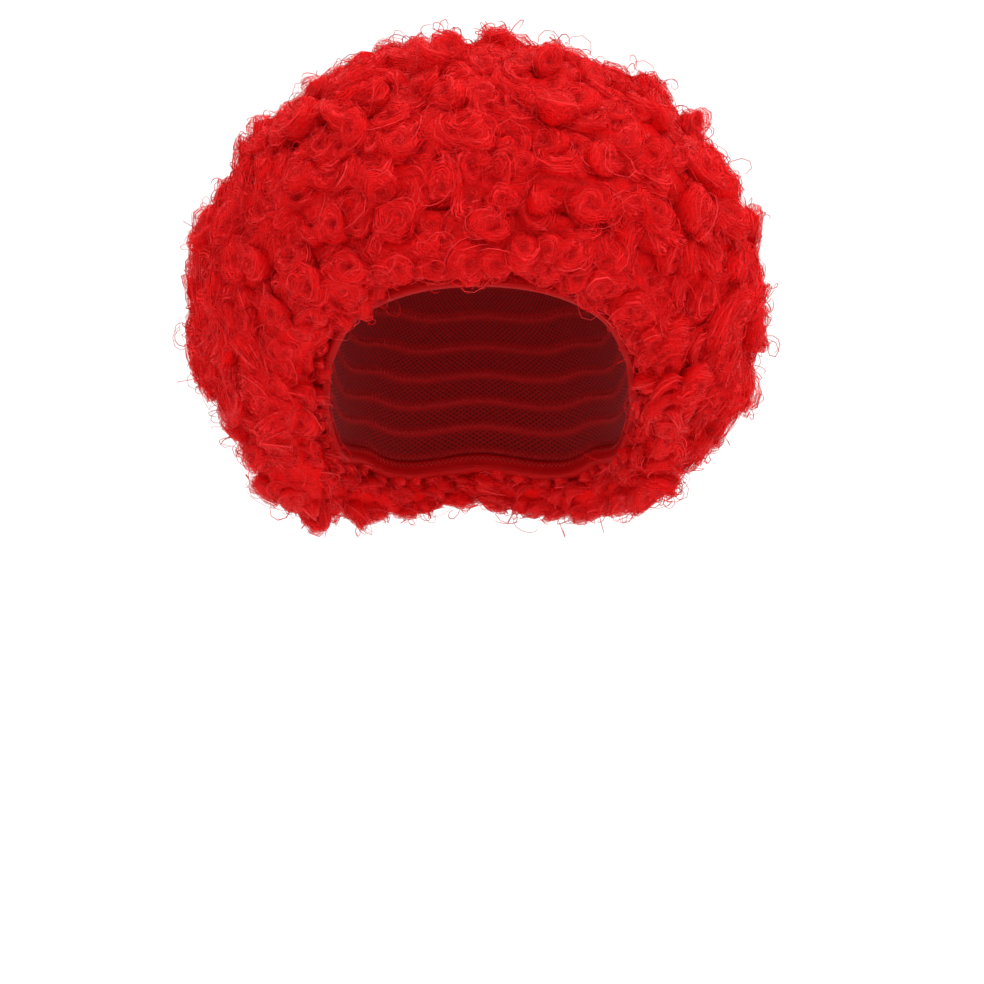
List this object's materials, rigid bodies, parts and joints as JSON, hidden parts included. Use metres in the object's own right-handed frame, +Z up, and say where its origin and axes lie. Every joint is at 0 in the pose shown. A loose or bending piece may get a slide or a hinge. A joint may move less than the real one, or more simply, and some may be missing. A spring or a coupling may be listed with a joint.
{
  "type": "curly costume wig",
  "caption": "Round wig of short springy curls: rings of curly locks sewn round a hollow stretch cap with a folded hem band, open below and at the face.",
  "frame": {"origin": "the top of the hollow, where the wig sits on the crown of the head", "axes": "+Z up when worn, -Y out of the face opening, +X towards the right side as seen from the front"},
  "size_m": [0.2796, 0.2678, 0.2275],
  "materials": {
    "curly_hair": "bright red crimped synthetic fibre with a soft sheen",
    "cap_net": "dark red stretch net with rows of stitching",
    "hem_elastic": "smooth red elastic binding"
  },
  "bodies": {
    "root": {"wig_cap": "cap_net", "hem_band": "hem_elastic", "curls_crown": "curly_hair", "curls_row_1": "curly_hair", "curls_row_2": "curly_hair", "curls_row_3": "curly_hair", "curls_row_4": "curly_hair", "curls_row_5": "curly_hair", "curls_row_6": "curly_hair", "curls_row_7": "curly_hair", "curls_row_8": "curly_hair"}
  },
  "joints": []
}
